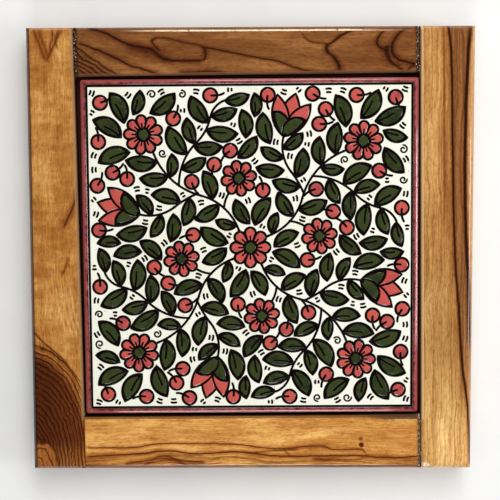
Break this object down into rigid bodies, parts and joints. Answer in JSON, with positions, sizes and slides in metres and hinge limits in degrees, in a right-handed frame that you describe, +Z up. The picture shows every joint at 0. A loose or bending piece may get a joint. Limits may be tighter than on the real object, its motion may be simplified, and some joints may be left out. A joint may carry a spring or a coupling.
{
  "type": "trivet",
  "caption": "Square trivet: a glazed flower tile set in a butt-jointed frame of olive-wood sticks, on small rubber feet.",
  "frame": {"origin": "middle of the footprint, on the plane that the feet stand on", "axes": "+X to the right and +Y to the top rail as one looks at the tile's face, +Z up out of the face"},
  "size_m": [0.2, 0.2, 0.0166],
  "materials": {
    "left_stile_wood": "varnished olive wood, honey tan with a red-brown heart below",
    "right_stile_wood": "varnished olive wood, pale yellow tan",
    "top_rail_wood": "varnished olive wood, mid brown",
    "bottom_rail_wood": "varnished olive wood, golden tan",
    "dowel_wood": "raw beech",
    "board_wood": "raw plywood",
    "adhesive": "matt",
    "biscuit": "unglazed",
    "white_glaze": "glossy",
    "red_enamel": "glossy",
    "black_enamel": "glossy",
    "green_enamel": "glossy",
    "coral_enamel": "glossy",
    "foot_rubber": "matt"
  },
  "bodies": {
    "root": {"left_stile": "left_stile_wood", "right_stile": "right_stile_wood", "top_rail": "top_rail_wood", "bottom_rail": "bottom_rail_wood", "dowel_top_left_outer": "dowel_wood", "dowel_top_left_inner": "dowel_wood", "dowel_top_right_outer": "dowel_wood", "dowel_top_right_inner": "dowel_wood", "dowel_bottom_left_outer": "dowel_wood", "dowel_bottom_left_inner": "dowel_wood", "dowel_bottom_right_outer": "dowel_wood", "dowel_bottom_right_inner": "dowel_wood", "backing_board": "board_wood", "tile_adhesive": "adhesive", "tile_body": "biscuit", "white_glaze": "white_glaze", "red_border": "red_enamel", "black_linework": "black_enamel", "leaves": "green_enamel", "petals": "coral_enamel", "berries": "coral_enamel", "flower_centres": "green_enamel", "calyxes": "green_enamel", "foot_top_left": "foot_rubber", "foot_top_right": "foot_rubber", "foot_bottom_left": "foot_rubber", "foot_bottom_right": "foot_rubber"}
  },
  "joints": []
}
